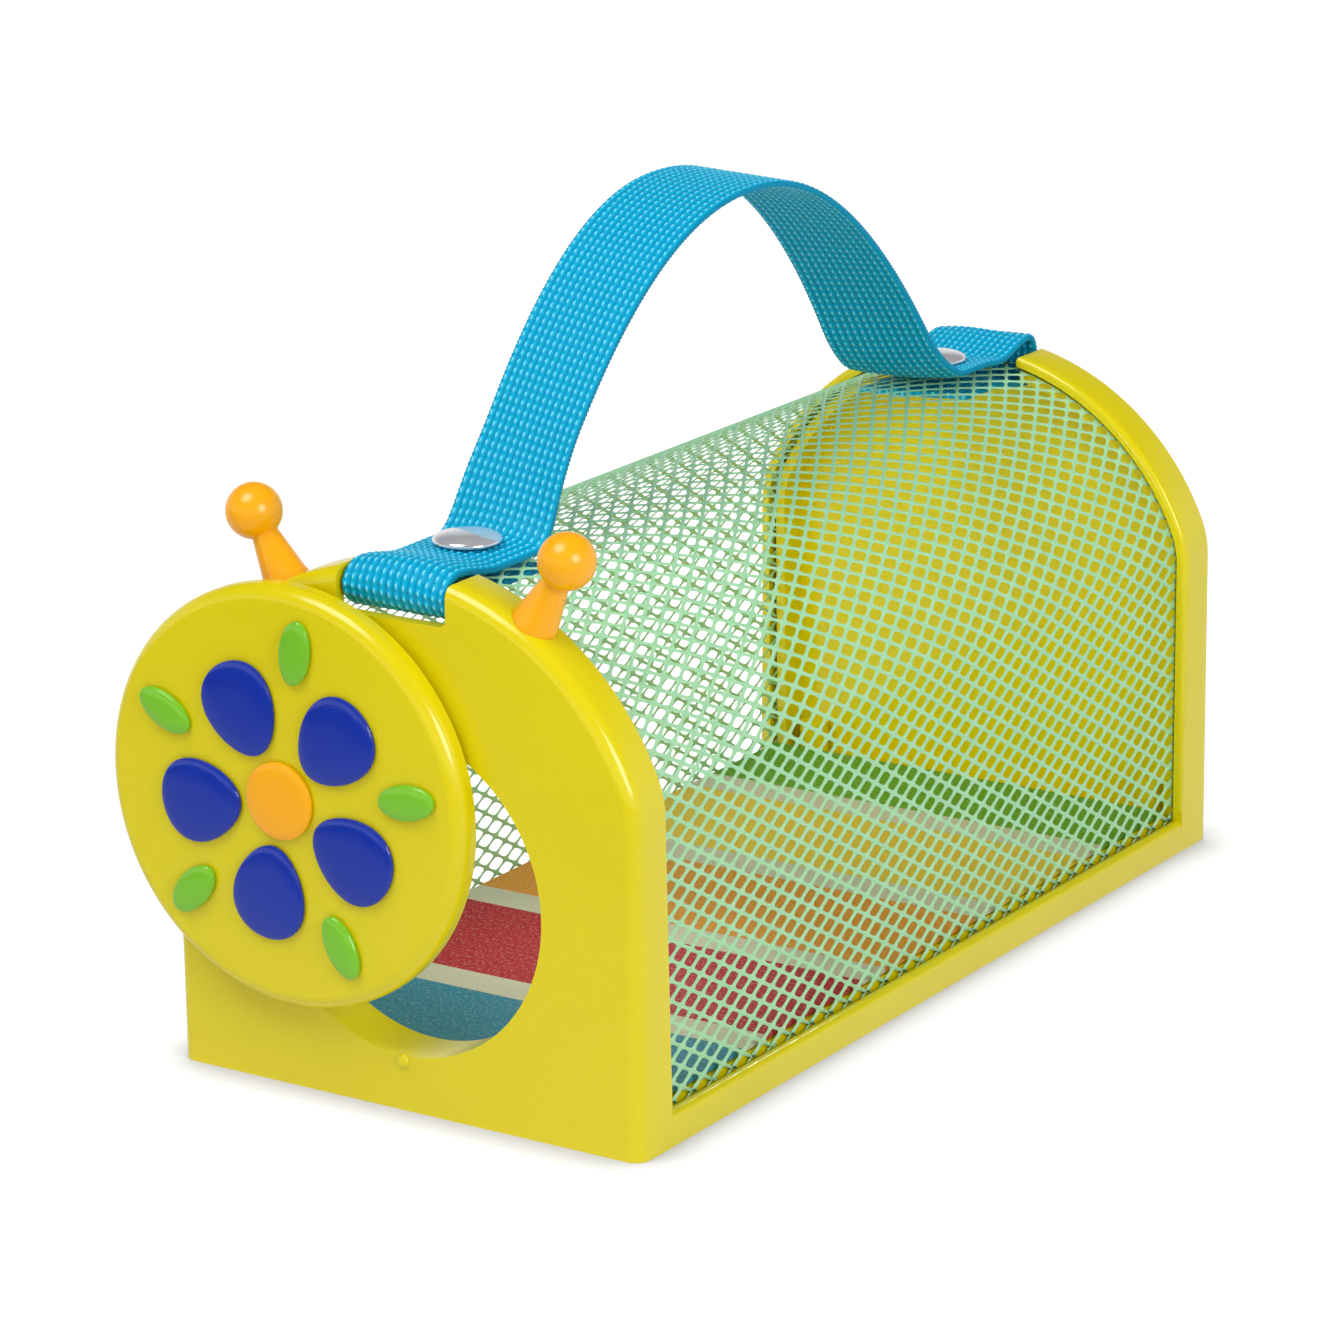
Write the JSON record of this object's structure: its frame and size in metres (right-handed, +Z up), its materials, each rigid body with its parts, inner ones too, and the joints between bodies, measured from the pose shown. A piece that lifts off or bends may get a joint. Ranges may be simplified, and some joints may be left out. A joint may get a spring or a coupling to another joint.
{
  "type": "bug house",
  "caption": "Child's arched mesh bug house with moulded ends and base, a round swinging door, peg antennae and a webbing carry strap.",
  "frame": {"origin": "on the ground under the middle of the base", "axes": "+Z up, +Y from the door end to the closed rear end, +X to the right of someone who faces the door"},
  "size_m": [0.1158, 0.2278, 0.1583],
  "materials": {
    "yellow_abs": "glossy moulded yellow",
    "green_mesh": "satin light green coating",
    "blue_webbing": "woven cyan blue webbing",
    "orange_abs": "glossy moulded orange",
    "polished_steel": "polished nickel-plated steel",
    "printed_sheet": "grained sheet printed with broad stripes",
    "blue_gloss": "glossy domed blue",
    "leaf_green_gloss": "glossy domed leaf green"
  },
  "bodies": {
    "house": {"front_panel": "yellow_abs", "rear_panel": "yellow_abs", "base_tray": "yellow_abs", "front_rivet_cap": "polished_steel", "front_rivet_back": "polished_steel", "rear_rivet_cap": "polished_steel", "rear_rivet_back": "polished_steel", "base_screw_front_left": "polished_steel", "base_screw_front_right": "polished_steel", "base_screw_rear_left": "polished_steel", "base_screw_rear_right": "polished_steel", "mesh_left": "green_mesh", "mesh_arch_1": "green_mesh", "mesh_arch_2": "green_mesh", "mesh_arch_3": "green_mesh", "mesh_arch_4": "green_mesh", "mesh_arch_5": "green_mesh", "mesh_right": "green_mesh", "carry_strap": "blue_webbing", "floor_sheet": "printed_sheet", "antenna_left": "orange_abs", "antenna_right": "orange_abs"},
    "door": {"door_disc": "yellow_abs", "door_pivot_washer": "polished_steel", "door_pivot_screw": "polished_steel", "flower_centre": "orange_abs", "flower_petal_1": "blue_gloss", "flower_petal_2": "blue_gloss", "flower_petal_3": "blue_gloss", "flower_petal_4": "blue_gloss", "flower_petal_5": "blue_gloss", "flower_leaf_1": "leaf_green_gloss", "flower_leaf_2": "leaf_green_gloss", "flower_leaf_3": "leaf_green_gloss", "flower_leaf_4": "leaf_green_gloss", "flower_leaf_5": "leaf_green_gloss"}
  },
  "joints": [
    {"name": "door_swing", "type": "hinge", "parent": "house", "child": "door", "pos_m": [0, -0.11, 0.0806], "axis": [0, 1, 0], "range_deg": [-45.3, 134.7]}
  ]
}
